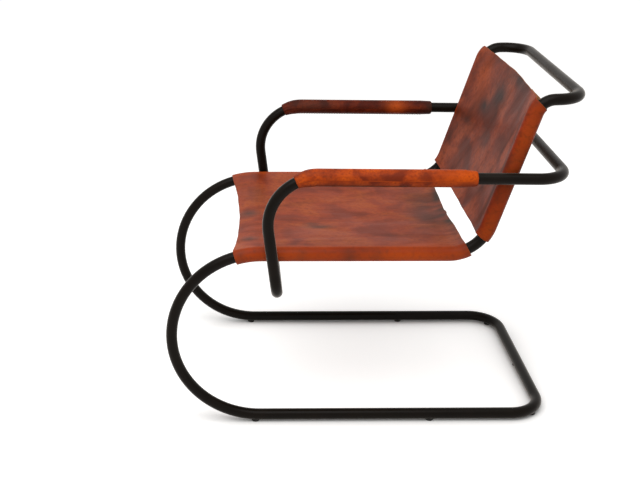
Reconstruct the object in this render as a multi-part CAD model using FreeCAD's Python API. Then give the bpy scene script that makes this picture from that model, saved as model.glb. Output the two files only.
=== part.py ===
# Cantilever lounge chair: two bent steel tube loops that carry leather slings and arm covers.
# The sitter faces -Y and sits upright along +Z. The origin is on the floor, under the middle
# of the chair's overall width and depth. Sizes are in millimetres, angles in degrees.
import FreeCAD
import Part
import math
import os

# Steel tube, the same for both loops
tubeDiameter = 25.0
tubeWall = 2.0

# Main frame, between tube centrelines. Reaches start at the centre of the front bends.
frameWidth = 500.0
frontBendRadius = 199.0
runnerReach = 652.0
floorCornerRadius = 74.0
seatReach = 474.0        # to the corner where the seat line meets the back line
seatBackBendRadius = 90.0
backLean = 17.3          # back line from upright
backLineLength = 363.0   # from that corner to the corner at the top of the back
topBendRadius = 42.0
topRise = 1.2            # the short top arms climb to the rear
topReach = 94.0          # from the corner at the top of the back to the top rail
topCornerRadius = 58.0
floorSeamOffset = 60.0   # the floor rail's seam lies beside its centre glide

# Arm loop, between tube centrelines
crossbarReach = 35.0
crossbarHeight = 319.5
crossbarCornerRadius = 42.0
postLean = 8.0           # posts lean forward as they climb
armHeight = 600.0        # where the post line meets the arm line
armFall = 6.0            # the arms come down this much to the rear bar
armReach = 651.0
armFrontRadius = 108.0
armCornerRadius = 67.0

# Sleeves that join the halves of each loop inside the tube
sleeveLength = 90.0
sleeveWall = 2.5
sleeveClearance = 0.1

# Leather slings. Their reaches run along the rail, from where the seat line leaves the front bend.
slingThickness = 3.0
leatherClearance = 0.3
seatSag = 14.0
backSag = 15.0
flapReach = 60.0         # from the rail to the stitched lap
lapWidth = 25.0
seatFrontReach = 59.0    # round the front bend
seatFrontHollow = 13.0   # the front edge is cut in by this much
seatRearReach = 449.5
slingGap = 48.5          # along the rail, from the seat sling to the back sling
backWrapAngle = 30.0     # how far the back sling follows the top bend

# Padded arm covers
coverFrontAngle = 26.0   # the cover starts this far down the front bend
coverShoulderAngle = 9.0  # and reaches its full girth here
coverRearReach = 453.0
coverRadius = 19.0
coverMouthRadius = 14.3
coverRearRadius = 16.8
coverThickness = 2.5
coverTaper = 32.0        # rear taper's length
coverRound = 5.0
padEndInset = 14.0       # the padding ends this far inside the rear end

# Hardware at the four crossings of the two loops
crossingPlay = 0.7
screwDiameter = 6.0
screwHole = 6.4
screwHeadDiameter = 10.5
screwHeadHeight = 3.3
screwHeadChamfer = 1.1
screwTip = 2.0           # the screw ends this far short of the arm tube's centre
washerDiameter = 13.0
washerThickness = 2.0
spacerDiameter = 16.0
seatClearance = 0.1      # metal on metal
insertDiameter = 9.0
insertCollar = 11.0
insertCollarInset = 0.5
insertCollarLength = 2.3

# Glides under the main frame
glideHeight = 3.0
glideDiameter = 18.0
glideChamfer = 1.2
glideStemDiameter = 6.0
glideStemLength = 5.0    # above the inside of the tube's wall
glideBarbDiameter = 8.0
glideTipDiameter = 4.0
glideSnap = 1.0          # play between the barb and the wall
frontGlideReach = -10.0
middleGlideReach = 389.0

# Sizes that follow from those above
vec = FreeCAD.Vector
tubeRadius = tubeDiameter / 2
boreRadius = tubeRadius - tubeWall
crossingGap = slingThickness + leatherClearance + crossingPlay
frameHalf = frameWidth / 2
armHalf = frameHalf + tubeDiameter + crossingGap
lean = math.radians(backLean)
backLine = vec(0, math.sin(lean), math.cos(lean))
topRailReach = seatReach + backLineLength * backLine.y + topReach
overallDepth = frontBendRadius + max(runnerReach, topRailReach, armReach) + tubeDiameter
bendY = frontBendRadius + tubeRadius - overallDepth / 2
floorTubeHeight = glideHeight + tubeRadius
seatHeight = floorTubeHeight + 2 * frontBendRadius
topRailY = bendY + topRailReach
seatCorner = vec(0, bendY + seatReach, seatHeight)
backCorner = seatCorner + backLine * backLineLength
topRailHeight = backCorner.z + topReach * math.tan(math.radians(topRise))
topRail = vec(0, topRailY, topRailHeight)
crossbar = vec(0, bendY + crossbarReach, crossbarHeight)
postTop = vec(0, crossbar.y - (armHeight - crossbarHeight) * math.tan(math.radians(postLean)), armHeight)
rearBar = vec(0, bendY + armReach, armHeight - armFall)
armLine = (rearBar - postTop).normalize()
shortestRun = 0.01
sides = {"left": 1, "right": -1}


# A tube's centreline: straight runs between the corners, joined by tangent arcs of the given radii.
def bentPath(corners, radii):
    edges = []
    start = corners[0]
    for corner, after, radius in zip(corners[1:-1], corners[2:], radii):
        inward = (corner - start).normalize()
        onward = (after - corner).normalize()
        halfTurn = inward.getAngle(onward) / 2
        setBack = radius * math.tan(halfTurn)
        arcStart = corner - inward * setBack
        arcEnd = corner + onward * setBack
        toCentre = (onward - inward).normalize()
        middle = corner + toCentre * (radius / math.cos(halfTurn) - radius)
        if start.distanceToPoint(arcStart) > shortestRun:
            edges.append(Part.LineSegment(start, arcStart).toShape())
        edges.append(Part.Arc(arcStart, middle, arcEnd).toShape())
        start = arcEnd
    edges.append(Part.LineSegment(start, corners[-1]).toShape())
    return Part.Wire(edges)


# A round bar swept along a path.
def barAlong(path, radius):
    first = path.Edges[0]
    centre = first.valueAt(first.FirstParameter)
    direction = first.tangentAt(first.FirstParameter)
    section = Part.Wire(Part.makeCircle(radius, centre, direction))
    return path.makePipeShell([section], True, False)


def rod(radius, start, end):
    return Part.makeCylinder(radius, start.distanceToPoint(end), start, end - start)


def atSide(point, x):
    return vec(x, point.y, point.z)


# One half of the main frame: rear floor rail, runner, front bend, seat rail, back rail, top rail.
def frameHalfPath(side):
    x = side * frameHalf
    frontY = bendY - frontBendRadius
    rearFloor = vec(0, bendY + runnerReach, floorTubeHeight)
    corners = [
        atSide(rearFloor, -floorSeamOffset),
        atSide(rearFloor, x),
        vec(x, frontY, floorTubeHeight),
        vec(x, frontY, seatHeight),
        atSide(seatCorner, x),
        atSide(backCorner, x),
        atSide(topRail, x),
        topRail,
    ]
    radii = [
        floorCornerRadius, frontBendRadius, frontBendRadius,
        seatBackBendRadius, topBendRadius, topCornerRadius,
    ]
    return bentPath(corners, radii)


# One half of the arm loop: crossbar under the seat, front post, arm, rear bar.
def armHalfPath(side):
    x = side * armHalf
    corners = [crossbar, atSide(crossbar, x), atSide(postTop, x), atSide(rearBar, x), rearBar]
    return bentPath(corners, [crossbarCornerRadius, armFrontRadius, armCornerRadius])


# Where the arm loop is screwed to the main frame, on the frame's centreline at x = 0.
def crossings():
    postRun = (crossbar - postTop) * ((armHeight - seatHeight) / (armHeight - crossbarHeight))
    atSeat = postTop + postRun
    apart = seatCorner - postTop
    determinant = armLine.y * backLine.z - armLine.z * backLine.y
    alongArm = (apart.y * backLine.z - apart.z * backLine.y) / determinant
    return [atSeat, postTop + armLine * alongArm]


# Glides in groups: a pair under the front bends, a pair under the runners, three at the rear.
def glidePlaces():
    diagonal = floorCornerRadius * (1 - math.sqrt(0.5))
    rearY = bendY + runnerReach
    places = {"glides_front": [], "glides_middle": [], "glides_rear": [(0, rearY)]}
    for side in sides.values():
        places["glides_front"].append((side * frameHalf, bendY + frontGlideReach))
        places["glides_middle"].append((side * frameHalf, bendY + middleGlideReach))
        places["glides_rear"].append((side * (frameHalf - diagonal), rearY - diagonal))
    return places


# Glide: a round pad with a saddle on top and a barbed stem that snaps into the tube's lower wall.
def glide(x, y, frameBar):
    radius = glideDiameter / 2
    saddleTop = floorTubeHeight - math.sqrt(tubeRadius**2 - radius**2)
    pad = Part.makeCylinder(radius, saddleTop, vec(x, y, 0))
    rim = [edge for edge in pad.Edges if edge.BoundBox.ZMax < glideChamfer]
    pad = pad.makeChamfer(glideChamfer, rim).cut(frameBar)
    footInside = glideHeight / 2
    barbBottom = glideHeight + tubeWall + glideSnap
    stemTop = glideHeight + tubeWall + glideStemLength
    stem = Part.makeCylinder(glideStemDiameter / 2, barbBottom - footInside, vec(x, y, footInside))
    barb = Part.makeCone(glideBarbDiameter / 2, glideTipDiameter / 2, stemTop - barbBottom, vec(x, y, barbBottom))
    return pad.fuse([stem, barb]).removeSplitter()


# An arc of less than half a turn about a centre.
def arcAbout(start, centre, end):
    radius = start.distanceToPoint(centre)
    outward = ((start + end) * 0.5 - centre).normalize()
    return Part.Arc(start, centre + outward * radius, end).toShape()


def straight(start, end):
    return Part.LineSegment(start, end).toShape()


# A sling's section is one sheet: it dips between the rails, wraps each rail from above, and comes
# back under itself to a stitched lap. X runs across the chair and Y up from the rails' centres.
# It returns the sheet's outline and the two tunnels that the rails lie in.
def slingSection(sag):
    inner = tubeRadius + leatherClearance
    outer = inner + slingThickness
    rail = vec(frameHalf, 0, 0)
    middleHeight = outer - sag
    wide = (frameHalf**2 + middleHeight**2 - outer**2) / (2 * sag)
    hub = vec(0, middleHeight + wide, 0)
    under = wide + slingThickness
    lapUnder = under + slingThickness

    def below(x, radius):
        return vec(x, hub.y - math.sqrt(radius**2 - x**2), 0)

    toHub = (hub - rail).normalize()
    railTop = rail + toHub * outer
    tunnelTop = rail + toHub * inner
    outerSide = rail + vec(outer, 0, 0)
    innerSide = rail + vec(inner, 0, 0)
    # the flap runs from the lap to the rail's underside, tangent to the tunnel
    seam = below(frameHalf - flapReach, under)
    toSeam = seam - rail
    turn = math.atan2(toSeam.y, toSeam.x) + math.acos(inner / toSeam.Length)
    leaving = vec(math.cos(turn), math.sin(turn), 0)
    innerLeave = rail + leaving * inner
    outerLeave = rail + leaving * outer
    flap = (seam - innerLeave).normalize()
    offset = outerLeave - hub
    closing = offset.dot(flap)
    reach = -closing - math.sqrt(closing**2 - offset.dot(offset) + lapUnder**2)
    lapStart = outerLeave + flap * reach
    lapEnd = below(frameHalf - flapReach - lapWidth, lapUnder)
    step = below(frameHalf - flapReach - lapWidth, under)

    rightRim = Part.Wire([
        arcAbout(railTop, rail, outerSide),
        arcAbout(outerSide, rail, outerLeave),
        straight(outerLeave, lapStart),
        arcAbout(lapStart, hub, lapEnd),
        straight(lapEnd, step),
    ])
    rightTunnel = Part.Wire([
        arcAbout(tunnelTop, rail, innerSide),
        arcAbout(innerSide, rail, innerLeave),
        straight(innerLeave, seam),
        arcAbout(seam, hub, tunnelTop),
    ])
    leftRim, leftTunnel = [wire.mirror(vec(0, 0, 0), vec(1, 0, 0)) for wire in (rightRim, rightTunnel)]
    underside = arcAbout(step, hub, vec(-step.x, step.y, 0))
    top = arcAbout(railTop, hub, vec(-railTop.x, railTop.y, 0))
    edges = rightRim.Edges + [underside] + leftRim.Edges + [top]
    outline = Part.Wire(Part.sortEdges(edges)[0])
    return outline, [rightTunnel, leftTunnel]


# The leather sheet swept along a rail's path in the middle plane, before its edges are trimmed.
def slingAlong(path, sag):
    first = path.Edges[0]
    start = first.valueAt(first.FirstParameter)
    along = first.tangentAt(first.FirstParameter)
    outward = vec(0, -along.z, along.y)
    place = FreeCAD.Placement(start, FreeCAD.Rotation(vec(1, 0, 0), outward, along * -1))
    outline, tunnels = slingSection(sag)
    for wire in [outline] + tunnels:
        wire.Placement = place
    sheet = path.makePipeShell([outline], True, False)
    return sheet.cut([path.makePipeShell([tunnel], True, False) for tunnel in tunnels])


# An arc in the side plane x = 0, between two angles seen from the arc's centre.
def sideArc(centre, radius, start, end):
    def at(angle):
        return centre + vec(0, math.cos(math.radians(angle)), math.sin(math.radians(angle))) * radius
    return Part.Arc(at(start), at((start + end) / 2), at(end)).toShape()


# A run of a rail in the side plane: its length, and a function that draws it between two shares.
def arcRun(centre, radius, start, end):
    def draw(low, high):
        return sideArc(centre, radius, start + (end - start) * low, start + (end - start) * high)
    return radius * math.radians(abs(end - start)), draw


def lineRun(start, end):
    def draw(low, high):
        return straight(start + (end - start) * low, start + (end - start) * high)
    return start.distanceToPoint(end), draw


# A rail seen from the side: upper half of the front bend, seat line, bend, back line, top bend.
def railRuns():
    backTurn = 90 - backLean
    topTurn = backTurn - topRise
    behind = vec(0, backLine.z, -backLine.y)
    frontHub = vec(0, bendY, floorTubeHeight + frontBendRadius)
    seatEnd = seatCorner - vec(0, seatBackBendRadius * math.tan(math.radians(backTurn / 2)), 0)
    seatHub = seatEnd + vec(0, 0, seatBackBendRadius)
    backEnd = backCorner - backLine * (topBendRadius * math.tan(math.radians(topTurn / 2)))
    return [
        arcRun(frontHub, frontBendRadius, 180, 90),
        lineRun(frontHub + vec(0, 0, frontBendRadius), seatEnd),
        arcRun(seatHub, seatBackBendRadius, -90, -backLean),
        lineRun(seatHub + behind * seatBackBendRadius, backEnd),
        arcRun(backEnd + behind * topBendRadius, topBendRadius, 90 + backTurn, 90 + topRise),
    ]


# The part of a rail between two lengths along it.
def railPiece(start, end):
    edges = []
    for length, draw in railRuns():
        low = max(start, 0)
        high = min(end, length)
        if high - low > shortestRun:
            edges.append(draw(low / length, high / length))
        start -= length
        end -= length
    return Part.Wire(edges)


def seatSling(holes):
    seatStart = railRuns()[0][0]
    path = railPiece(seatStart - seatFrontReach, seatStart + seatRearReach)
    sheet = slingAlong(path, seatSag)
    # the front edge is cut in along a shallow arc
    first = path.Edges[0]
    frontY = first.valueAt(first.FirstParameter).y
    halfWidth = frameHalf + tubeRadius + leatherClearance + slingThickness
    radius = (halfWidth**2 + seatFrontHollow**2) / (2 * seatFrontHollow)
    centre = vec(0, frontY + seatFrontHollow - radius, 0)
    return sheet.cut([Part.makeCylinder(radius, 2 * seatHeight, centre)] + holes)


def backSling(holes):
    lengths = [length for length, draw in railRuns()]
    bottom = lengths[0] + seatRearReach + slingGap
    top = sum(lengths[:4]) + topBendRadius * math.radians(backWrapAngle)
    return slingAlong(railPiece(bottom, top), backSag).cut(holes)


# The body of a padded cover, drawn in by an inset: it follows the end of the front bend and the
# arm, and narrows to a rounded rear end. The cover itself also has a mouth that swells from the
# front bend to the body's shoulder.
def coverForm(side, inset, endInset, hasMouth):
    armSlope = math.atan2(armFall, rearBar.y - postTop.y)
    setBack = armFrontRadius * math.tan((math.pi / 2 - armSlope + math.radians(postLean)) / 2)
    bendEnd = atSide(postTop + armLine * setBack, side * armHalf)
    down = vec(0, armLine.z, -armLine.y)
    hub = bendEnd + down * armFrontRadius

    def onBend(turn):
        turned = math.radians(turn)
        outward = down * -math.cos(turned) - armLine * math.sin(turned)
        return hub + outward * armFrontRadius

    def ring(turn, radius):
        turned = math.radians(turn)
        direction = armLine * math.cos(turned) - down * math.sin(turned)
        return Part.Wire(Part.makeCircle(radius, onBend(turn), direction))

    bend = Part.Arc(onBend(coverShoulderAngle), onBend(coverShoulderAngle / 2), bendEnd).toShape()
    shoulderRing = ring(coverShoulderAngle, coverRadius - inset)
    pieces = [Part.Wire([bend]).makePipeShell([shoulderRing], True, False)]
    if hasMouth:
        pieces.append(Part.makeLoft([ring(coverFrontAngle, coverMouthRadius), shoulderRing], True, True))
    length = (bendY + coverRearReach - bendEnd.y) / armLine.y - endInset
    body = coverRadius - inset
    rear = coverRearRadius - inset
    corner = min(coverRound, rear / 2)
    outline = [
        straight(vec(0, 0, 0), vec(0, body, 0)),
        straight(vec(0, body, 0), vec(length - coverTaper, body, 0)),
        straight(vec(length - coverTaper, body, 0), vec(length - corner, rear, 0)),
        arcAbout(vec(length - corner, rear, 0), vec(length - corner, rear - corner, 0),
                 vec(length, rear - corner, 0)),
        straight(vec(length, rear - corner, 0), vec(length, 0, 0)),
        straight(vec(length, 0, 0), vec(0, 0, 0)),
    ]
    barrel = Part.Face(Part.Wire(outline)).revolve(vec(0, 0, 0), vec(1, 0, 0), 360)
    barrel.Placement = FreeCAD.Placement(bendEnd, FreeCAD.Rotation(vec(1, 0, 0), armLine))
    return barrel.fuse(pieces)


# Hardware at one crossing, all along X: screw, saddle washer, saddle spacer, thread insert.
def crossingHardware(point, side, frameBar, armBar):
    def across(radius, nearX, farX):
        return rod(radius, atSide(point, side * nearX), atSide(point, side * farX))
    washerFace = frameHalf - tubeRadius - washerThickness
    headFace = washerFace - screwHeadHeight
    hole = across(screwHole / 2, headFace, armHalf)
    head = across(screwHeadDiameter / 2, headFace, washerFace)
    middle = side * (headFace + washerFace) / 2
    crown = [edge for edge in head.Edges if max(side * edge.BoundBox.XMin, side * edge.BoundBox.XMax) < side * middle]
    head = head.makeChamfer(screwHeadChamfer, crown)
    screw = head.fuse(across(screwDiameter / 2, washerFace, armHalf - screwTip)).removeSplitter()
    washer = across(washerDiameter / 2, washerFace, frameHalf).cut([frameBar, hole])
    spacer = across(spacerDiameter / 2, frameHalf, armHalf).cut([frameBar, armBar, hole])
    wallInside = armHalf - tubeRadius + tubeWall
    insert = across(insertDiameter / 2, armHalf - tubeRadius + seatClearance, armHalf)
    collarStart = wallInside + insertCollarInset
    collar = across(insertCollar / 2, collarStart, collarStart + insertCollarLength)
    insert = insert.fuse(collar).cut(across(screwDiameter / 2 + seatClearance, frameHalf, armHalf + tubeRadius))
    return {"crossing_screws": screw, "saddle_washers": washer, "saddle_spacers": spacer, "thread_inserts": insert}


# A sleeve inside the tube at a seam, centred on the given point of a rail that runs along X.
def sleeve(centre):
    start = centre - vec(sleeveLength / 2, 0, 0)
    end = centre + vec(sleeveLength / 2, 0, 0)
    outer = boreRadius - sleeveClearance
    return rod(outer, start, end).cut(rod(outer - sleeveWall, start, end))


def save(shape, node):
    shape.exportStep("parts/" + node + ".step")


def build():
    os.makedirs("parts", exist_ok=True)
    points = crossings()
    framePaths = {name: frameHalfPath(side) for name, side in sides.items()}
    armPaths = {name: armHalfPath(side) for name, side in sides.items()}
    frameBars = {name: barAlong(path, tubeRadius) for name, path in framePaths.items()}
    armBars = {name: barAlong(path, tubeRadius) for name, path in armPaths.items()}

    places = glidePlaces()
    stemHoles = [rod(glideStemDiameter / 2 + seatClearance, vec(x, y, 0), vec(x, y, floorTubeHeight))
                 for group in places.values() for x, y in group]
    hardware = {}
    slingHoles = [[], []]
    for name, side in sides.items():
        screwHoles = []
        insertHoles = []
        for index, point in enumerate(points):
            screwHoles.append(rod(screwHole / 2, vec(0, point.y, point.z), atSide(point, side * armHalf)))
            insertHoles.append(rod(insertDiameter / 2 + seatClearance, atSide(point, side * frameHalf),
                                   atSide(point, side * armHalf)))
            slingHoles[index].append(rod(spacerDiameter / 2 + leatherClearance, atSide(point, side * frameHalf),
                                         atSide(point, side * armHalf)))
            for node, piece in crossingHardware(point, side, frameBars[name], armBars[name]).items():
                hardware.setdefault(node, []).append(piece)
        frameBore = barAlong(framePaths[name], boreRadius)
        armBore = barAlong(armPaths[name], boreRadius)
        save(frameBars[name].cut([frameBore] + screwHoles + stemHoles), "main_frame_" + name)
        save(armBars[name].cut([armBore] + insertHoles), "arm_loop_" + name)
        leather = coverForm(side, 0, 0, True)
        padRoom = coverForm(side, coverThickness, padEndInset, False)
        armRoom = barAlong(armPaths[name], tubeRadius + leatherClearance)
        save(leather.cut([padRoom, armRoom]), "arm_cover_" + name)
        pad = coverForm(side, coverThickness + leatherClearance, padEndInset, False)
        save(pad.cut(armRoom), "arm_pad_" + name)
    for node, pieces in hardware.items():
        save(Part.makeCompound(pieces), node)
    floorBar = frameBars["left"].fuse(frameBars["right"])
    for node, group in places.items():
        save(Part.makeCompound([glide(x, y, floorBar) for x, y in group]), node)
    save(sleeve(vec(-floorSeamOffset, bendY + runnerReach, floorTubeHeight)), "floor_rail_sleeve")
    save(sleeve(topRail), "top_rail_sleeve")
    save(sleeve(crossbar), "crossbar_sleeve")
    save(sleeve(rearBar), "rear_bar_sleeve")
    save(seatSling(slingHoles[0]), "seat_sling")
    save(backSling(slingHoles[1]), "back_sling")


build()
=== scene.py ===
import math

import bpy
import numpy as np
from mathutils import Matrix, Vector


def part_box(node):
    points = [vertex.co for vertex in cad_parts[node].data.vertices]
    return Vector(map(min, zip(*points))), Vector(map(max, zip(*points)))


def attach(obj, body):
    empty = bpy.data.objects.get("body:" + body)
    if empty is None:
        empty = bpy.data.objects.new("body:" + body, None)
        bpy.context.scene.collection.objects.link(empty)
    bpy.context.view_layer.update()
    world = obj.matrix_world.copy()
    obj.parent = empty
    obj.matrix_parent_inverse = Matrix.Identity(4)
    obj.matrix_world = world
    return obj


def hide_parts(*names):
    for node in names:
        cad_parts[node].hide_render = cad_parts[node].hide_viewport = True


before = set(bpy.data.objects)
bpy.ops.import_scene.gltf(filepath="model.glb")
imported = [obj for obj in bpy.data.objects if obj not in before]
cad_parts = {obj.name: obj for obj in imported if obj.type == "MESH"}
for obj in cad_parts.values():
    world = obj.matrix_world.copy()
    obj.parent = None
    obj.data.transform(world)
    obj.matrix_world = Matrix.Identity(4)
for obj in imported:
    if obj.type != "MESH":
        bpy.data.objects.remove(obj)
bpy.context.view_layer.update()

# Cantilever lounge chair: the steel loops come from the CAD frame, the leather is made here.
# Metres throughout. The sitter faces -Y, the floor is at z = 0.

cameraView = {
    "place": (2.4683, -0.3125, 1.3638),
    "yaw": 1.025,            # degrees, turned from -X towards +Y
    "pitch": 18.108,         # degrees down
    "roll": 0.294,
    "focal": 1104.2,         # in pixels of the 640 pixel wide picture
    "centre": (246.33, 155.36),
    "picture": (640, 480),
}

light = {
    "ambient": 0.60,         # of white, from all round
    "overhead": 54.0,        # watts
    "size": 2.4,
    "place": (1.1, -0.5, 2.6),
    "target": (0.0, 0.05, 0.35),
    "floor": "#e7e6e4",
    "floorReach": 9.0,
    "lift": 0.53,            # adds to the open floor so that it reaches white
    "crevice": 0.12,         # the lift fades this near to the chair
}

steel = {
    "tubeRadius": 0.0125,
    "frameHalf": 0.250,      # rail centres from the middle
    "frontBend": 0.199,
    "seatBackBend": 0.090,
    "topBend": 0.042,
    "seatReach": 0.474,
    "backLength": 0.363,
    "topReach": 0.094,
    "backLean": 17.3,
    "topRise": 1.2,
    "crossbarReach": 0.035,
    "crossbarHeight": 0.3195,
    "postLean": 8.0,
    "armHeight": 0.600,
    "armFall": 0.006,
    "armReach": 0.651,
    "armBend": 0.108,
}


# sRGB hex to linear: c / 12.92 below 0.04045, else ((c + 0.055) / 1.055) to the 2.4
def linear(hexColour):
    channels = [int(hexColour[i:i + 2], 16) / 255 for i in (1, 3, 5)]
    return [c / 12.92 if c <= 0.04045 else ((c + 0.055) / 1.055) ** 2.4 for c in channels] + [1.0]


# Adds a node. An input takes a value, or a socket that is linked to it.
def addNode(tree, kind, inputs=None, **settings):
    node = tree.nodes.new(kind)
    for name, value in settings.items():
        setattr(node, name, value)
    for name, value in (inputs or {}).items():
        if isinstance(value, bpy.types.NodeSocket):
            tree.links.new(value, node.inputs[name])
        else:
            node.inputs[name].default_value = value
    return node


def newMaterial(name):
    material = bpy.data.materials.new(name)
    material.use_nodes = True
    material.node_tree.nodes.clear()
    return material, material.node_tree


# Noise with features of the given size in metres
def noise(tree, place, size, detail=4.0, twist=0.0):
    inputs = {"Vector": place, "Scale": 1 / size, "Detail": detail, "Distortion": twist}
    return addNode(tree, "ShaderNodeTexNoise", inputs).outputs["Fac"]


def ramp(tree, value, stops):
    node = addNode(tree, "ShaderNodeValToRGB", {"Fac": value})
    elements = node.color_ramp.elements
    for element, (position, colour) in zip(elements, (stops[0], stops[-1])):
        element.position = position
        element.color = linear(colour)
    for position, colour in stops[1:-1]:
        elements.new(position).color = linear(colour)
    return node.outputs["Color"]


# A value moved from one range to another and held between its ends
def ranged(tree, value, low, high, bottom=0.0, top=1.0):
    inputs = {"Value": value, "From Min": low, "From Max": high, "To Min": bottom, "To Max": top}
    return addNode(tree, "ShaderNodeMapRange", inputs).outputs["Result"]


def combined(tree, operation, first, second):
    inputs = {0: first, 1: second}
    return addNode(tree, "ShaderNodeMath", inputs, operation=operation, use_clamp=True).outputs["Value"]


def blended(tree, share, first, second):
    return addNode(tree, "ShaderNodeMix", {0: share, 6: first, 7: second}, data_type="RGBA").outputs[2]


def bumped(tree, height, depth, strength, normal=None):
    inputs = {"Height": height, "Distance": depth, "Strength": strength}
    if normal is not None:
        inputs["Normal"] = normal
    return addNode(tree, "ShaderNodeBump", inputs).outputs["Normal"]


def finish(tree, inputs):
    shader = addNode(tree, "ShaderNodeBsdfPrincipled", inputs)
    addNode(tree, "ShaderNodeOutputMaterial", {"Surface": shader.outputs["BSDF"]})


# Points and headings at lengths along straight and round runs in one plane. Each run is
# (length, turn): a round one turns by turn on a circle of radius length / turn.
def alongRuns(lengths, runs, start, heading):
    lengths = np.asarray(lengths, float)
    first = np.full(lengths.shape, float(start[0]))
    second = np.full(lengths.shape, float(start[1]))
    angles = np.full(lengths.shape, float(heading))
    p, q = start
    h, before = heading, 0.0
    for length, turn in runs:
        here = lengths >= before
        part = lengths[here] - before
        radius = length / turn if turn else 1.0
        endTurn = h + part / radius if turn else h + 0 * part
        if turn:
            first[here] = p + radius * (np.sin(endTurn) - math.sin(h))
            second[here] = q - radius * (np.cos(endTurn) - math.cos(h))
            p += radius * (math.sin(h + turn) - math.sin(h))
            q -= radius * (math.cos(h + turn) - math.cos(h))
        else:
            first[here] = p + part * math.cos(h)
            second[here] = q + part * math.sin(h)
            p += length * math.cos(h)
            q += length * math.sin(h)
        angles[here] = endTurn
        h += turn
        before += length
    return first, second, angles


# A mesh from rows and columns of points. around closes the columns. Its faces look along
# (next column) x (next row).
def gridObject(name, points, uv=None, around=False, attributes=None):
    rows, columns = points.shape[:2]
    index = np.arange(rows * columns).reshape(rows, columns)
    if around:
        index = np.hstack([index, index[:, :1]])
    faces = np.stack([index[:-1, :-1], index[:-1, 1:], index[1:, 1:], index[1:, :-1]], axis=-1)
    return meshObject(name, points.reshape(-1, 3), faces.reshape(-1, 4).tolist(), uv, attributes)


def meshObject(name, points, faces, uv=None, attributes=None):
    mesh = bpy.data.meshes.new(name)
    mesh.from_pydata(points.tolist(), [], faces)
    if uv is not None:
        layer = mesh.uv_layers.new(name="UVMap")
        corners = np.empty(len(mesh.loops), np.int32)
        mesh.loops.foreach_get("vertex_index", corners)
        layer.data.foreach_set("uv", uv.reshape(-1, 2)[corners].astype(np.float32).ravel())
    for key, values in (attributes or {}).items():
        attribute = mesh.attributes.new(key, "FLOAT", "POINT")
        attribute.data.foreach_set("value", values.astype(np.float32).ravel())
    mesh.polygons.foreach_set("use_smooth", np.ones(len(mesh.polygons), bool))
    mesh.update()
    thing = bpy.data.objects.new(name, mesh)
    bpy.context.scene.collection.objects.link(thing)
    return thing


def smoothStep(value, low, high):
    share = np.clip((value - low) / (high - low), 0, 1)
    return share * share * (3 - 2 * share)


# Sum of round-topped marks: strength * exp(-((a - a0) / wide)^2 - ((b - b0) / tall)^2)
def marksAt(a, b, marks):
    total = np.zeros(np.broadcast(a, b).shape)
    for a0, b0, wide, tall, strength in marks:
        total += strength * np.exp(-((a - a0) / wide) ** 2 - ((b - b0) / tall) ** 2)
    return np.clip(total, 0, 1)


# The rails seen from the side, from the top of the front bends on
lean = math.radians(steel["backLean"])
backTurn = math.pi / 2 - lean
topTurn = backTurn - math.radians(steel["topRise"])
seatSetBack = steel["seatBackBend"] * math.tan(backTurn / 2)
topSetBack = steel["topBend"] * math.tan(topTurn / 2)
frontMost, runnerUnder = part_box("main_frame_left")[0].y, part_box("main_frame_left")[0].z
bendY = frontMost + steel["tubeRadius"] + steel["frontBend"]
seatHeight = runnerUnder + steel["tubeRadius"] + 2 * steel["frontBend"]
railRuns = [
    (steel["seatReach"] - seatSetBack, 0),
    (steel["seatBackBend"] * backTurn, backTurn),
    (steel["backLength"] - seatSetBack - topSetBack, 0),
    (steel["topBend"] * topTurn, -topTurn),
    (steel["topReach"], 0),
]
topBendStart = sum(length for length, turn in railRuns[:3])


# A rail's centre and heading at lengths from the top of the front bends. Negative lengths
# follow the front bend: y = -R sin(l / R), z = R (cos(l / R) - 1).
def railPlace(lengths):
    y, z, heading = alongRuns(np.maximum(lengths, 0), railRuns, (bendY, seatHeight), 0.0)
    turn = np.minimum(lengths, 0) / steel["frontBend"]
    y = y + steel["frontBend"] * np.sin(turn)
    z = z + steel["frontBend"] * (np.cos(turn) - 1)
    return y, z, heading - turn


# Satin black enamel: near black, faintly warm, with a grey sheen only at a low angle
def satinBlackEnamel():
    material, tree = newMaterial("satinBlackEnamel")
    place = addNode(tree, "ShaderNodeTexCoord").outputs["Object"]
    cloud = noise(tree, place, 0.07)
    peel = noise(tree, place, 0.0024, 2.0)
    finish(tree, {
        "Base Color": ramp(tree, cloud, [(0.3, "#0b0704"), (0.7, "#130d08")]),
        "Roughness": ranged(tree, cloud, 0.3, 0.7, 0.28, 0.38),
        "Specular IOR Level": 0.07,
        "Sheen Weight": 0.40,
        "Sheen Roughness": 0.32,
        "Sheen Tint": linear("#fff2e4"),
        "Normal": bumped(tree, peel, 0.0004, 0.06),
    })
    return material


# A plain finish whose fine grain breaks up its colour and shine
def grainedFinish(name, dark, pale, roughness, metallic=0.0, specular=0.3, size=0.0011):
    material, tree = newMaterial(name)
    place = addNode(tree, "ShaderNodeTexCoord").outputs["Object"]
    speck = noise(tree, place, size, 3.0)
    finish(tree, {
        "Base Color": ramp(tree, speck, [(0.3, dark), (0.7, pale)]),
        "Roughness": ranged(tree, speck, 0.3, 0.7, roughness - 0.06, min(1.0, roughness + 0.06)),
        "Metallic": metallic,
        "Specular IOR Level": specular,
        "Normal": bumped(tree, speck, 0.0003, 0.1),
    })
    return material


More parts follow.
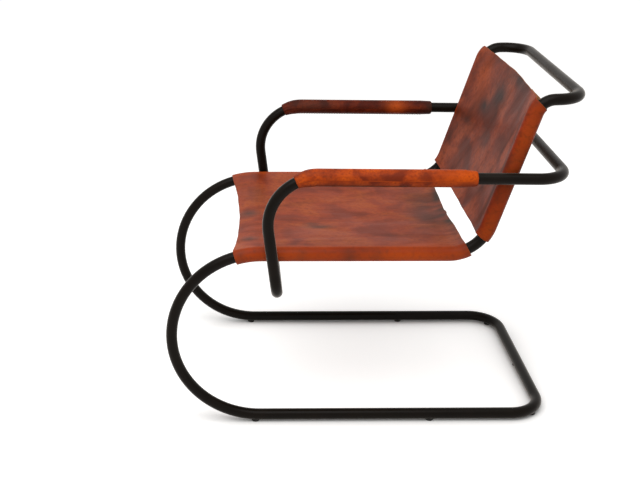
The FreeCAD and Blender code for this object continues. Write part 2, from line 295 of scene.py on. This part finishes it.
seatLeather = {
    "deep": "#742c15",       # oiled patches
    "middle": "#8d3818",
    "pale": "#9b451a",
    "rubbedAndLit": "#b2480f",     # rubbed and stretched places, also painted highlights and a painted floor reflection
    "fold": "#862808",       # the strip over the rails
    "smokeAndShade": "#3a2a22",      # handling marks, also painted shade and shadow
    "roughness": 0.42,
    "specular": 0.09,
    "patch": 0.09,           # metres across a patch
    "streak": 2.6,           # how much longer than wide a smoky mark is
    "smoky": 0.45,
    "grain": 0.0016,         # pebble size, drawn coarser than the real 0.6 mm so that it shows
}
# The back's leather is the seat's with darker tones, because its front face gets less light: painted
# shade
backShadedLeather = seatLeather | {
    "deep": "#55200e", "middle": "#722e17", "pale": "#8b3e20", "specular": 0.06,
    "rubbedAndLit": "#9a400e", "fold": "#84270a", "smokeAndShade": "#2a1f1b", "smoky": 0.8, "streak": 3.6,
}
coverLeather = seatLeather | {
    "deep": "#6e2611", "middle": "#9d3b12", "pale": "#b04712", "rubbedAndLit": "#bb4b0e", "patch": 0.045,
    "specular": 0.05,
}
# The far cover's leather is the near cover's drawn much darker: painted shade on the far arm
farCoverShadedLeather = seatLeather | {
    "deep": "#3f150c", "middle": "#551d0f", "pale": "#6a2812", "rubbedAndLit": "#c0521a", "patch": 0.045,
    "specular": 0.05,
}


# Vegetable tanned saddle leather: waxed grain with oiled and rubbed patches, smoky marks,
# long creases and a fine pebble. Two attributes place the rubbed and smoky marks that use has left;
# they also carry painted highlights, a painted floor reflection, and painted shade and shadow.
def leather(name, look, seed, turn=0.0):
    material, tree = newMaterial(name)
    flat = addNode(tree, "ShaderNodeUVMap", uv_map="UVMap").outputs["UV"]
    moved = {"Vector": flat, "Location": (seed, seed * 0.7, 0), "Rotation": (0, 0, turn)}
    place = addNode(tree, "ShaderNodeMapping", moved).outputs["Vector"]
    drawn = {"Vector": place, "Scale": (1 / look["streak"], 1.0, 1.0)}
    long = addNode(tree, "ShaderNodeMapping", drawn).outputs["Vector"]
    rubAndLight = addNode(tree, "ShaderNodeAttribute", attribute_name="rubAndLight").outputs["Fac"]
    placed = addNode(tree, "ShaderNodeAttribute", attribute_name="smokeAndShade").outputs["Fac"]
    fold = addNode(tree, "ShaderNodeAttribute", attribute_name="fold").outputs["Fac"]

    patches = noise(tree, place, look["patch"], 6.0, 0.5)
    mottle = noise(tree, place, look["patch"] * 0.12, 5.0, 0.3)
    hide = ramp(tree, patches, [(0.38, look["deep"]), (0.5, look["middle"]), (0.62, look["pale"])])
    hide = blended(tree, combined(tree, "MULTIPLY", fold, 0.7), hide, linear(look["fold"]))
    wornAndLit = combined(tree, "MULTIPLY", rubAndLight, ranged(tree, mottle, 0.3, 0.6, 0.45, 1.0))
    hide = blended(tree, wornAndLit, hide, linear(look["rubbedAndLit"]))
    specks = ranged(tree, mottle, 0.46, 0.68, 0.0, 0.55)
    hide = blended(tree, specks, hide, linear(look["deep"]))

    streaks = noise(tree, long, look["patch"] * 0.6, 6.0, 0.9)
    loose = ranged(tree, streaks, 0.52, 0.80, 0.0, look["smoky"])
    kept = combined(tree, "MULTIPLY", loose, combined(tree, "SUBTRACT", 1.0, rubAndLight))
    marked = combined(tree, "MULTIPLY", placed, ranged(tree, streaks, 0.30, 0.55, 0.40, 1.0))
    smokeAndShade = combined(tree, "MAXIMUM", kept, marked)
    hide = blended(tree, smokeAndShade, hide, linear(look["smokeAndShade"]))

    voronoi = {"Vector": place, "Scale": 1 / look["grain"]}
    pebble = addNode(tree, "ShaderNodeTexVoronoi", voronoi, feature="SMOOTH_F1").outputs["Distance"]
    crease = noise(tree, long, 0.011, 4.0, 1.2)
    normal = bumped(tree, pebble, 0.0003, 0.2)
    smooth, rough = look["roughness"] - 0.06, look["roughness"] + 0.10
    finish(tree, {
        "Base Color": hide,
        "Roughness": ranged(tree, streaks, 0.3, 0.7, smooth, rough),
        "Specular IOR Level": look["specular"],
        "Normal": bumped(tree, crease, 0.0012, 0.25, normal),
    })
    return material


# The leather's inner side: dull, fibrous and paler, with no shine
def fleshSide():
    material, tree = newMaterial("leatherFleshSide")
    place = addNode(tree, "ShaderNodeUVMap", uv_map="UVMap").outputs["UV"]
    fibre = noise(tree, place, 0.004, 6.0)
    finish(tree, {
        "Base Color": ramp(tree, fibre, [(0.3, "#6b3f25"), (0.7, "#9a6a45")]),
        "Roughness": 0.9,
        "Specular IOR Level": 0.15,
        "Sheen Weight": 0.15,
        "Normal": bumped(tree, fibre, 0.0006, 0.5),
    })
    return material


sling = {
    "thickness": 0.003,
    "clearance": 0.0003,
    "flap": 0.060,           # from the rail to the stitched lap
    "lap": 0.025,
    "lapStep": 1.02,         # thicknesses from the sheet's middle line to the lap's
    "edgeRound": 0.0009,
    "rippleFade": 0.03,      # ripples die out this far from the rails
}

seatSize = {
    "sag": 0.014,
    "front": -0.059,         # along the rail, from the top of the front bends
    "frontHollow": 0.013,
    "rear": 0.4495,
    "rearHollow": 0.003,
    "rearPoint": 0.0025,     # the rear corners reach a little past the cut line
    "edgeWave": 0.0004,      # unevenness of the hand-cut edges
    "wave": 0.0005,          # slack in the sheet
    "rearCuts": [(0.022, 0.012, 0.0030), (0.010, 0.070, -0.0040)],  # place, width, depth
    "standOff": 0.0,         # the sheet's distance from the rail's front, past its clearance
    "hang": 0.0018,          # and below it
    "topSag": 0.0,
}

backSize = {
    "sag": 0.015,
    "gap": 0.0485,           # along the rail, above the seat's rear edge
    "wrap": 30.0,            # degrees up the top bend
    "droop": 0.0062,         # the lower edge hangs below its cut line, more in the middle
    "crown": 0.0125,         # the upper edge is cut in a low curve
    "edgeWave": 0.0004,
    "wave": 0.0007,
    "standOff": 0.004,
    "hang": 0.0,
    "topSag": 0.004,         # a little more sag at the top, where shoulders lean
}


# Half of a sling's middle line, from the middle outwards, at shares 0 to 1 of its length: a dished
# arc about a hub above, an arc round the rail, a straight flap and a lap about the same hub.
# Returns x, height above the rail's centre, the slope of the outward normal, and the parts' ends.
def slingSection(shares, sag):
    wrap = steel["tubeRadius"] + sling["clearance"] + sling["thickness"] / 2
    half = steel["frameHalf"]
    hubRadius = (half**2 + sag**2) / (2 * sag) - wrap
    hubHeight = wrap - sag + hubRadius
    dishTurn = math.asin(half / (hubRadius + wrap))
    under = hubRadius + sling["thickness"] * sling["lapStep"]
    seamX = half - sling["flap"]
    seamZ = hubHeight - math.sqrt(under**2 - seamX**2)
    away = math.hypot(seamX - half, seamZ)
    leave = math.atan2(seamZ, seamX - half) + math.acos(wrap / away)
    leaveX, leaveZ = half + wrap * math.cos(leave), wrap * math.sin(leave)
    startAngle = math.pi / 2 + dishTurn
    wrapTurn = (startAngle - leave) % (2 * math.pi)
    flapLength = math.hypot(seamX - leaveX, seamZ - leaveZ)
    flapHeading = math.atan2(seamZ - leaveZ, seamX - leaveX)
    ends = np.cumsum([hubRadius * dishTurn, wrap * wrapTurn, flapLength, sling["lap"]])
    along = shares * ends[3]
    dishAngle = np.clip(along, 0, ends[0]) / hubRadius
    wrapAngle = startAngle - np.clip(along - ends[0], 0, ends[1] - ends[0]) / wrap
    flapPart = np.clip(along - ends[1], 0, flapLength)
    lapAngle = math.asin(seamX / under) - np.clip(along - ends[2], 0, sling["lap"]) / under
    zones = [along <= ends[0], along <= ends[1], along <= ends[2]]
    flapX = leaveX + flapPart * math.cos(flapHeading)
    flapUp = leaveZ + flapPart * math.sin(flapHeading)
    x = np.select(zones, [hubRadius * np.sin(dishAngle), half + wrap * np.cos(wrapAngle), flapX],
                  under * np.sin(lapAngle))
    up = np.select(zones, [hubHeight - hubRadius * np.cos(dishAngle), wrap * np.sin(wrapAngle), flapUp],
                   hubHeight - under * np.cos(lapAngle))
    return x, up, lapAngle, ends


# Shares along half a section, close together round the rail
def sectionShares(ends):
    steps = [np.linspace(0, ends[0], 44)[:-1], np.linspace(ends[0], ends[1], 22)[:-1]]
    steps += [np.linspace(ends[1], ends[2], 9)[:-1], np.linspace(ends[2], ends[3], 6)]
    return np.concatenate(steps) / ends[3]


# Where the rails turn back at the top, the stiff leather between them stands straight on:
# P = rail(l) + m (line(l) - rail(l)), with m from 0 at a rail to 1 in the middle.
def betweenRails(lengths, x):
    y, z, heading = railPlace(lengths)
    startY, startZ, lineHeading = railPlace(np.minimum(lengths, topBendStart))
    past = np.maximum(lengths - topBendStart, 0)
    free = midShare(x) ** 0.5 * (past > 0)
    y = y + (startY + past * np.cos(lineHeading) - y) * free
    z = z + (startZ + past * np.sin(lineHeading) - z) * free
    return y, z, heading + (lineHeading - heading) * free


# A sheet carried along the rails: P = rail(l) + x across + up square to the rail, where l runs
# between the two cut edges and up is the section's height plus a ripple on the top.
def slingObject(name, size, edges, ripple, use, rows, materials):
    ends = slingSection(np.array([0.0]), size["sag"])[3]
    half = sectionShares(ends)
    shares = np.concatenate([-half[:0:-1], half])
    x, up = slingSection(np.abs(shares), size["sag"])[:2]
    x = np.sign(shares) * x
    across = shares * ends[3]
    low, high = edges(x, across)
    lengths = low + (high - low) * np.linspace(0, 1, rows)[:, None]
    y, z, heading = betweenRails(lengths, x)
    onTop = 1 - smoothStep(np.abs(across), ends[0] - sling["rippleFade"], ends[0])
    climb = (lengths - lengths[:1]) / (lengths[-1:] - lengths[:1])
    nearRail = np.clip(np.abs(x) / steel["frameHalf"], 0, 1) ** 6
    loose = size["standOff"] * nearRail * np.clip(up / steel["tubeRadius"], 0, 1)
    loose = loose + size["hang"] * nearRail * np.clip(up / steel["tubeRadius"], -1, 0)
    lift = up + loose + ripple(lengths, x) * onTop - size["topSag"] * climb**1.5 * midShare(x) ** 1.3
    x = np.broadcast_to(x, lengths.shape)
    points = np.stack([x, y - lift * np.sin(heading), z + lift * np.cos(heading)], axis=-1)
    uv = np.stack([lengths, np.broadcast_to(across, lengths.shape)], axis=-1)
    sheet = gridObject(name, points, uv, attributes=use(lengths, x, np.abs(across) - ends[0]))
    for material in materials:
        sheet.data.materials.append(material)
    solid = sheet.modifiers.new("leatherThickness", "SOLIDIFY")
    solid.thickness = sling["thickness"]
    solid.offset = 0
    solid.use_rim = True
    solid.material_offset = 1
    solid.material_offset_rim = 2
    rounded = sheet.modifiers.new("cutEdge", "BEVEL")
    rounded.width = sling["edgeRound"]
    rounded.segments = 2
    rounded.limit_method = "ANGLE"
    rounded.angle_limit = math.radians(60)
    return sheet, (2 * ends[3], float(np.mean(high - low)))


# How far a point lies from the rails, 0 at a rail and 1 in the middle
def midShare(x):
    return 1 - np.clip(np.abs(x) / steel["frameHalf"], 0, 1) ** 2


# The two cut edges of each sling, as lengths along the rail. Sines stand for the unsteady knife.
def seatEdges(x, across):
    hand = seatSize["edgeWave"] * (np.sin(across * 41 + 0.6) + 0.6 * np.sin(across * 97))
    low = seatSize["front"] + seatSize["frontHollow"] * midShare(x) + hand
    high = seatSize["rear"] + seatSize["rearPoint"] - seatSize["rearHollow"] * midShare(x) + hand[::-1]
    for place, width, depth in seatSize["rearCuts"]:
        high = high + depth * np.exp(-((across - place) / width) ** 2)
    return low, high


def backEdges(x, across):
    hand = backSize["edgeWave"] * (np.sin(across * 37 + 2.1) + 0.7 * np.sin(across * 83 + 1))
    low = seatSize["rear"] + backSize["gap"] - backSize["droop"] * (1 + midShare(x)) + hand
    high = topBendStart + steel["topBend"] * math.radians(backSize["wrap"])
    high = high + backSize["crown"] * midShare(x) ** 0.35 + hand[::-1]
    return low, high


def seatRipple(lengths, x):
    waves = np.sin(lengths * 31 + 1.3 * np.sin(x * 17)) + 0.7 * np.sin(x * 43 + lengths * 12)
    return seatSize["wave"] * waves * midShare(x)


def backRipple(lengths, x):
    return backSize["wave"] * np.sin(lengths * 25 + 2.0 * np.sin(x * 11 + 1)) * midShare(x)


# Marks of use, with some painted light and shade among them: place along the rail and across, half
# length, half width, strength
seatSmokeAndShade = [
    (0.134, 0.105, 0.036, 0.014, 0.85),
    (0.120, 0.080, 0.018, 0.010, 0.60),
    (-0.021, 0.010, 0.026, 0.026, 0.75),
    (-0.024, 0.185, 0.022, 0.016, 0.75),
    (0.000, -0.110, 0.030, 0.060, 0.45),
    # The next two darken the seat's rear across its width, where it curves up into the corner under the
    # back: painted shade
    (0.410, 0.000, 0.060, 0.170, 0.80),
    (0.448, 0.000, 0.016, 0.240, 0.70),
    (0.190, 0.264, 0.020, 0.008, 0.45),
    (0.085, 0.264, 0.012, 0.008, 0.30),
    (0.250, 0.266, 0.014, 0.008, 0.30),
    (-0.045, 0.262, 0.010, 0.012, 0.35),
]
seatRubAndHighlight = [
    (0.060, 0.262, 0.080, 0.016, 0.35),
    (0.320, 0.262, 0.100, 0.016, 0.5),
    (0.357, 0.235, 0.050, 0.014, 0.8),
    (0.200, -0.250, 0.260, 0.010, 0.8),
    # A painted highlight along the near rail, where the sheet bends over it
    (0.200, 0.248, 0.280, 0.006, 0.6),
]
backSmokeAndShadow = [
    (0.704, -0.093, 0.020, 0.034, 0.95),
    (0.755, -0.020, 0.034, 0.056, 1.00),
    # The next two make the dark band that the far arm casts across the back: painted shadow
    (0.642, -0.009, 0.024, 0.034, 0.60),
    (0.643, -0.174, 0.014, 0.060, 0.55),
    (0.815, 0.060, 0.020, 0.110, 0.80),
    (0.560, 0.100, 0.040, 0.120, 0.15),
]
backRubAndLitSide = [
    # The next three lighten the back's far edge and far upper side, which turn towards the light:
    # painted light
    (0.660, -0.262, 0.170, 0.016, 0.3),
    (0.775, -0.170, 0.045, 0.036, 0.60),
    (0.720, -0.150, 0.060, 0.030, 0.40),
    (0.545, -0.150, 0.040, 0.080, 0.20),
    (0.700, 0.265, 0.140, 0.007, 0.70),
    (0.515, 0.265, 0.040, 0.008, 0.60),
]


# What the leather's material reads at each point: rubbed places and painted light, smoky marks and
# painted shade, and fold, 1 on the strip past a rail
def seatUse(lengths, x, pastRail):
    fold = np.broadcast_to(smoothStep(pastRail, -0.004, 0.006), lengths.shape)
    # Past the rail, the strip's lower part takes some of the rubbed colour: a painted reflection of the
    # bright floor
    rubAndLight = np.clip(marksAt(lengths, x, seatRubAndHighlight) + 0.35 * smoothStep(pastRail, 0.014, 0.022), 0, 1)
    return {"rubAndLight": rubAndLight, "smokeAndShade": marksAt(lengths, x, seatSmokeAndShade), "fold": fold}


def backUse(lengths, x, pastRail):
    fold = np.broadcast_to(smoothStep(pastRail, -0.008, 0.004), lengths.shape)
    return {"rubAndLight": marksAt(lengths, x, backRubAndLitSide), "smokeAndShade": marksAt(lengths, x, backSmokeAndShadow), "fold": fold}


thread = {
    "pitch": 0.0065,
    "length": 0.0046,
    "radius": 0.0005,
    "sides": 6,
    "rows": (0.006, 0.019),  # from the lap's fold side
    "endGap": 0.007,
}


# A seam of stitches in one object. Each is a closed capsule: P = centre + s tangent +
# r(s) (cos a side + sin a normal), where r(s) = radius * sqrt(1 - (2 s / length)^2).
def stitchObject(name, centres, tangents, normals, material):
    angles = np.linspace(0, 2 * math.pi, thread["sides"], endpoint=False)
    shares = np.cos(np.linspace(math.pi, 0, 7))[1:-1]
    girth = thread["radius"] * np.sqrt(1 - shares**2)
    template = np.concatenate([
        [[-0.5 * thread["length"], 0, 0]],
        np.stack([
            np.repeat(shares * 0.5 * thread["length"], len(angles)),
            (girth[:, None] * np.cos(angles)).ravel(),
            (girth[:, None] * np.sin(angles)).ravel(),
        ], axis=-1),
        [[0.5 * thread["length"], 0, 0]],
    ])
    sides = np.cross(normals, tangents)
    axes = np.stack([tangents, sides, normals], axis=1)
    points = centres[:, None, :] + np.einsum("ij,njk->nik", template, axes)
    n, last = len(angles), len(template) - 1
    ring = np.arange(n)
    after = (ring + 1) % n
    faces = [[0, 1 + int(b), 1 + int(a)] for a, b in zip(ring, after)]
    for row in range(len(shares) - 1):
        base = 1 + row * n
        faces += [[base + int(a), base + int(b), base + n + int(b), base + n + int(a)]
                  for a, b in zip(ring, after)]
    base = 1 + (len(shares) - 1) * n
    faces += [[base + int(a), base + int(b), last] for a, b in zip(ring, after)]
    every = []
    for first in range(0, len(centres) * len(template), len(template)):
        every += [[first + corner for corner in face] for face in faces]
    stitches = meshObject(name, points.reshape(-1, 3), every)
    stitches.data.materials.append(material)
    return stitches


# Stitches along both laps of a sling, two rows a side, on the lap's outer face
def lapStitches(name, sag, start, end, material):
    ends = slingSection(np.array([0.0]), sag)[3]
    count = int((end - start - 2 * thread["endGap"]) / thread["pitch"])
    lengths = start + thread["endGap"] + (np.arange(count) + 0.5) * thread["pitch"]
    y, z, heading = railPlace(lengths)
    centres, tangents, normals = [], [], []
    for row in thread["rows"]:
        share = np.array([(ends[2] + row) / ends[3]])
        x, up, angle, ends = slingSection(share, sag)
        outX, outUp = math.sin(angle[0]), -math.cos(angle[0])
        lift = up[0] + outUp * sling["thickness"] / 2
        for side in (1, -1):
            across = np.full(count, side * (x[0] + outX * sling["thickness"] / 2))
            place = [across, y - lift * np.sin(heading), z + lift * np.cos(heading)]
            centres.append(np.stack(place, axis=-1))
            tangents.append(np.stack([0 * y, np.cos(heading), np.sin(heading)], axis=-1))
            outward = [0 * y + side * outX, -outUp * np.sin(heading), outUp * np.cos(heading)]
            normals.append(np.stack(outward, axis=-1))
    centres, tangents, normals = (np.concatenate(parts) for parts in (centres, tangents, normals))
    return stitchObject(name, centres, tangents, normals, material)


armCover = {
    "radius": {"left": 0.0190, "right": 0.0176},
    "mouth": 0.0143,
    "rear": 0.0168,
    "clearance": 0.0004,     # from the bare tube
    "tuck": 0.012,           # both ends turn in this far along the tube
    "frontAngle": 26.0,      # starts this far down the front bend
    "shoulderAngle": 9.0,    # full girth from here
    "rearReach": 0.453,
    "taper": 0.032,
    "round": 0.005,
    "gathers": 11,           # folds round the drawn-in mouth
    "gatherDepth": 0.0006,
    "gatherPlace": 0.006,    # deepest this far behind the mouth
    "gatherSpan": 0.016,
    "welt": 0.0010,          # the seam's ridge along the underside
    "weltWidth": 0.16,       # radians
    "seamAngle": -1.75,
}

postLean = math.radians(steel["postLean"])
postRise = steel["armHeight"] - steel["crossbarHeight"]
postTopY = bendY + steel["crossbarReach"] - postRise * math.tan(postLean)
armSlope = math.atan2(steel["armFall"], bendY + steel["armReach"] - postTopY)
armSetBack = steel["armBend"] * math.tan((math.pi / 2 - armSlope + postLean) / 2)
armStartY = postTopY + armSetBack * math.cos(armSlope)
armStartZ = steel["armHeight"] - armSetBack * math.sin(armSlope)
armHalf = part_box("arm_loop_left")[1].x - steel["tubeRadius"]


# Centre and heading of an arm at lengths from the end of its front bend, negative ones on the bend
def armPlace(lengths):
    straight = np.maximum(lengths, 0)
    turn = np.minimum(lengths, 0) / steel["armBend"]
    bend = steel["armBend"]
    y = armStartY + straight * math.cos(armSlope)
    z = armStartZ - straight * math.sin(armSlope)
    y = y + bend * (np.sin(armSlope + turn) - math.sin(armSlope))
    z = z + bend * (np.cos(armSlope + turn) - math.cos(armSlope))
    return y, z, -armSlope - turn


coverFront = -steel["armBend"] * math.radians(armCover["frontAngle"])
coverShoulder = -steel["armBend"] * math.radians(armCover["shoulderAngle"])
coverRear = (bendY + armCover["rearReach"] - armStartY) / math.cos(armSlope)

# Marks of use on the covers, with painted shade under the near one: place along the arm, angle about
# it, half length, half angle, strength
coverRub = {
    "left": [(coverRear - 0.03, 0.6, 0.05, 1.1, 1.0), (0.12, 1.6, 0.08, 0.5, 0.45)],
    "right": [(coverRear - 0.094, 0.2, 0.024, 1.4, 1.0)],
}
coverSmokeAndShade = {
    # The near cover's second mark darkens its lower third from end to end: painted shade where it turns
    # away from the light
    "left": [(0.135, 0.3, 0.05, 0.9, 0.12), (0.10, -1.10, 0.20, 0.50, 0.95)],
    "right": [(0.02, 0.2, 0.06, 1.4, 0.45), (coverRear, 0.2, 0.022, 1.6, 0.6)],
}


# A sewn leather tube round the arm: P = arm(l) + r(l, a) (cos a across + sin a up). r swells from
# the gathered mouth to the full girth, narrows at the rear and turns in to the tube with a round lip.
def coverObject(word, side, material):
    full = armCover["radius"][word]
    bare = steel["tubeRadius"] + armCover["clearance"]
    lip = armCover["round"]
    lengths = np.linspace(coverFront, coverRear - lip, 90)
    swell = smoothStep(lengths, coverFront - 0.004, coverShoulder)
    narrow = smoothStep(lengths, coverRear - armCover["taper"], coverRear - lip)
    girth = armCover["mouth"] + (full - armCover["mouth"]) * swell
    girth = girth - (full - armCover["rear"]) * narrow
    corner = np.linspace(0, math.pi / 2, 7)[1:]
    frontLip = [coverFront + armCover["tuck"], coverFront + 0.0015, coverFront]
    lengths = np.concatenate([frontLip, lengths, coverRear - lip * (1 - np.sin(corner)),
                              [coverRear - 0.001, coverRear - armCover["tuck"]]])[:, None]
    rounded = armCover["rear"] - lip * (1 - np.cos(corner)) * 0.86
    girth = np.concatenate([[bare, bare, armCover["mouth"] - 0.0008], girth, rounded, [bare, bare]])
    girth = girth[:, None]
    turn = np.linspace(0, 2 * math.pi, 65)[:-1][None, :]
    outside = smoothStep(girth, bare + 0.0005, armCover["mouth"] + 0.0004)
    fromGathers = lengths - coverFront - armCover["gatherPlace"]
    drawnIn = np.exp(-(fromGathers / armCover["gatherSpan"]) ** 2)
    uneven = armCover["gathers"] * turn + 0.7 * np.sin(2 * turn)
    gathers = armCover["gatherDepth"] * drawnIn * np.sin(uneven)
    fromSeam = np.angle(np.exp(1j * (turn * side - armCover["seamAngle"] - (1 - side) * math.pi / 2)))
    welt = armCover["welt"] * np.exp(-(fromSeam / armCover["weltWidth"]) ** 2)
    radius = girth + (gathers + welt) * outside
    y, z, heading = armPlace(lengths)
    out = radius * np.cos(turn)
    up = radius * np.sin(turn)
    place = [side * armHalf + out, y - up * np.sin(heading), z + up * np.cos(heading)]
    points = np.stack(place, axis=-1)
    uv = np.stack(np.broadcast_arrays(lengths, turn * full), axis=-1)
    angle = np.angle(np.exp(1j * turn))
    use = {"rubAndLight": marksAt(lengths, angle, coverRub[word])[:, ::-1],
           "smokeAndShade": marksAt(lengths, angle, coverSmokeAndShade[word])[:, ::-1]}
    cover = gridObject("armCover_" + word, points[:, ::-1], uv[:, ::-1], around=True, attributes=use)
    cover.data.materials.append(material)
    return cover


# Slanting stitches over the welt under an arm cover
def coverStitches(word, side, material):
    count = int((coverRear - coverShoulder - 0.03) / thread["pitch"])
    lengths = coverShoulder + 0.01 + np.arange(count) * thread["pitch"]
    angle = armCover["seamAngle"]
    out, up = side * math.cos(angle), math.sin(angle)
    y, z, heading = armPlace(lengths)
    reach = armCover["radius"][word] + armCover["welt"]
    normal = np.stack([0 * y + out, -up * np.sin(heading), up * np.cos(heading)], axis=-1)
    along = np.stack([0 * y, np.cos(heading), np.sin(heading)], axis=-1)
    slant = math.radians(35)
    tangent = along * math.cos(slant) + np.cross(normal, along) * math.sin(slant)
    middle = np.stack([0 * y + side * armHalf, y, z], axis=-1)
    return stitchObject("coverStitches_" + word, middle + normal * reach, tangent, normal, material)


# Camera from yaw, pitch, roll and a focal length and centre in pixels
def setCamera():
    width, height = cameraView["picture"]
    yaw, pitch, roll = (math.radians(cameraView[key]) for key in ("yaw", "pitch", "roll"))
    level = math.cos(pitch)
    forward = Vector((-math.cos(yaw) * level, math.sin(yaw) * level, -math.sin(pitch)))
    right = forward.cross(Vector((0, 0, 1))).normalized()
    up = right.cross(forward)
    turnedRight = right * math.cos(roll) + up * math.sin(roll)
    turnedUp = up * math.cos(roll) - right * math.sin(roll)
    data = bpy.data.cameras.new("camera")
    data.sensor_width = 36
    data.lens = cameraView["focal"] / width * data.sensor_width
    data.shift_x = (width / 2 - cameraView["centre"][0]) / width
    data.shift_y = (cameraView["centre"][1] - height / 2) / width
    data.clip_end = 60
    camera = bpy.data.objects.new("camera", data)
    bpy.context.scene.collection.objects.link(camera)
    turned = Matrix((turnedRight, turnedUp, -forward)).transposed().to_4x4()
    camera.matrix_world = Matrix.Translation(cameraView["place"]) @ turned
    bpy.context.scene.camera = camera


# 1 for rays from the camera and for what shiny surfaces mirror
def seenDirectly(tree):
    path = addNode(tree, "ShaderNodeLightPath").outputs
    seen = combined(tree, "MAXIMUM", path["Is Camera Ray"], path["Is Glossy Ray"])
    return combined(tree, "MAXIMUM", seen, path["Is Transmission Ray"])


# White paper floor: a pale sheet, lifted to white where it lies open and dark in the crevices
def studioFloor():
    material, tree = newMaterial("studioFloor")
    near = {"Distance": light["crevice"]}
    openness = addNode(tree, "ShaderNodeAmbientOcclusion", near, samples=16).outputs["AO"]
    squared = combined(tree, "MULTIPLY", openness, openness)
    lift = combined(tree, "MULTIPLY", squared, light["lift"])
    strength = combined(tree, "MULTIPLY", lift, seenDirectly(tree))
    paper = addNode(tree, "ShaderNodeBsdfDiffuse", {"Color": linear(light["floor"])})
    glow = addNode(tree, "ShaderNodeEmission", {"Strength": strength})
    both = addNode(tree, "ShaderNodeAddShader", {0: paper.outputs["BSDF"], 1: glow.outputs["Emission"]})
    addNode(tree, "ShaderNodeOutputMaterial", {"Surface": both.outputs["Shader"]})
    return material


# White seamless studio with soft light from all round and one large lamp overhead
def setStage():
    scene = bpy.context.scene
    scene.view_settings.view_transform = "Standard"
    world = bpy.data.worlds.new("studio")
    world.use_nodes = True
    scene.world = world
    tree = world.node_tree
    tree.nodes.clear()
    strength = ranged(tree, seenDirectly(tree), 0, 1, light["ambient"], 1.0)
    sky = addNode(tree, "ShaderNodeBackground", {"Color": (1, 1, 1, 1), "Strength": strength})
    addNode(tree, "ShaderNodeOutputWorld", {"Surface": sky.outputs["Background"]})

    far = light["floorReach"]
    corners = np.array([[[-far, -far, 0], [far, -far, 0]], [[-far, far, 0], [far, far, 0]]])
    floor = gridObject("floor", corners)
    floor.data.materials.append(studioFloor())

    lamp = bpy.data.lights.new("overhead", "AREA")
    lamp.size = light["size"]
    lamp.energy = light["overhead"]
    overhead = bpy.data.objects.new("overhead", lamp)
    scene.collection.objects.link(overhead)
    overhead.location = light["place"]
    aim = Vector(light["target"]) - Vector(light["place"])
    overhead.rotation_euler = aim.to_track_quat("-Z", "Y").to_euler()


def dress(nodes, material):
    for node in nodes:
        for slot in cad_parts[node].material_slots:
            slot.material = material


def carried(piece, slotName, *nodes):
    if nodes:
        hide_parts(*nodes)
    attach(piece, "root")


setCamera()
setStage()
print("stage and camera ready")

dress(("main_frame_left", "main_frame_right", "arm_loop_left", "arm_loop_right"), satinBlackEnamel())
# Zinc plate glints pale on the screws, and the sleeves' bare steel is darker
dress(("crossing_screws", "saddle_washers", "thread_inserts"),
      grainedFinish("zincPlatedSteel", "#8f8f8a", "#b9b9b3", 0.4, 1.0, 0.5))
dress(("floor_rail_sleeve", "top_rail_sleeve", "rear_bar_sleeve", "crossbar_sleeve"),
      grainedFinish("bareSteel", "#7b7977", "#a19f9b", 0.5, 1.0, 0.5))
# Nylon is matt and near black, and felt is dull and woolly
dress(("saddle_spacers", "glides_front", "glides_middle", "glides_rear"),
      grainedFinish("mattNylon", "#0d0c0b", "#181615", 0.6))
dress(("arm_pad_left", "arm_pad_right"),
      grainedFinish("feltPadding", "#857f70", "#b0a998", 0.9, 0.0, 0.1))
print("steel finished")

flesh = fleshSide()
# The cut edge shows pale fibres with no shine, and the thread's wax gives it a dull gleam
rawEdge = grainedFinish("rawLeatherEdge", "#6f4326", "#a2703f", 0.8, 0.0, 0.15, 0.002)
waxedThread = grainedFinish("waxedLinenThread", "#3b2416", "#5a3a22", 0.6, 0.0, 0.3, 0.0006)
seatHide = leather("seatSaddleLeather", seatLeather, 3.1)
backShadedHide = leather("backShadedSaddleLeather", backShadedLeather, 7.4, -0.52)
nearHide = leather("leftCoverSaddleLeather", coverLeather, 1.7)
farShadedHide = leather("rightCoverShadedLeather", farCoverShadedLeather, 5.3)

seat, seatFlat = slingObject("seatSling", seatSize, seatEdges, seatRipple, seatUse, 120,
                             [seatHide, flesh, rawEdge])
carried(seat, "sling_leather", "seat_sling")
back, backFlat = slingObject("backSling", backSize, backEdges, backRipple, backUse, 100,
                             [backShadedHide, flesh, rawEdge])
carried(back, "sling_leather", "back_sling")
backTop = topBendStart + steel["topBend"] * math.radians(backSize["wrap"])
backBottom = seatSize["rear"] + backSize["gap"]
seatFrontEdge = seatSize["front"] + seatSize["frontHollow"]
carried(lapStitches("seatStitches", seatSize["sag"], seatFrontEdge, seatSize["rear"], waxedThread),
        "sling_leather")
carried(lapStitches("backStitches", backSize["sag"], backBottom, backTop, waxedThread), "sling_leather")
print("slings made")

for side, word, hide in ((1, "left", nearHide), (-1, "right", farShadedHide)):
    cover = coverObject(word, side, hide)
    carried(cover, "cover_leather", "arm_cover_" + word, "arm_pad_" + word)
    carried(coverStitches(word, side, waxedThread), "cover_leather")
print("arm covers made")
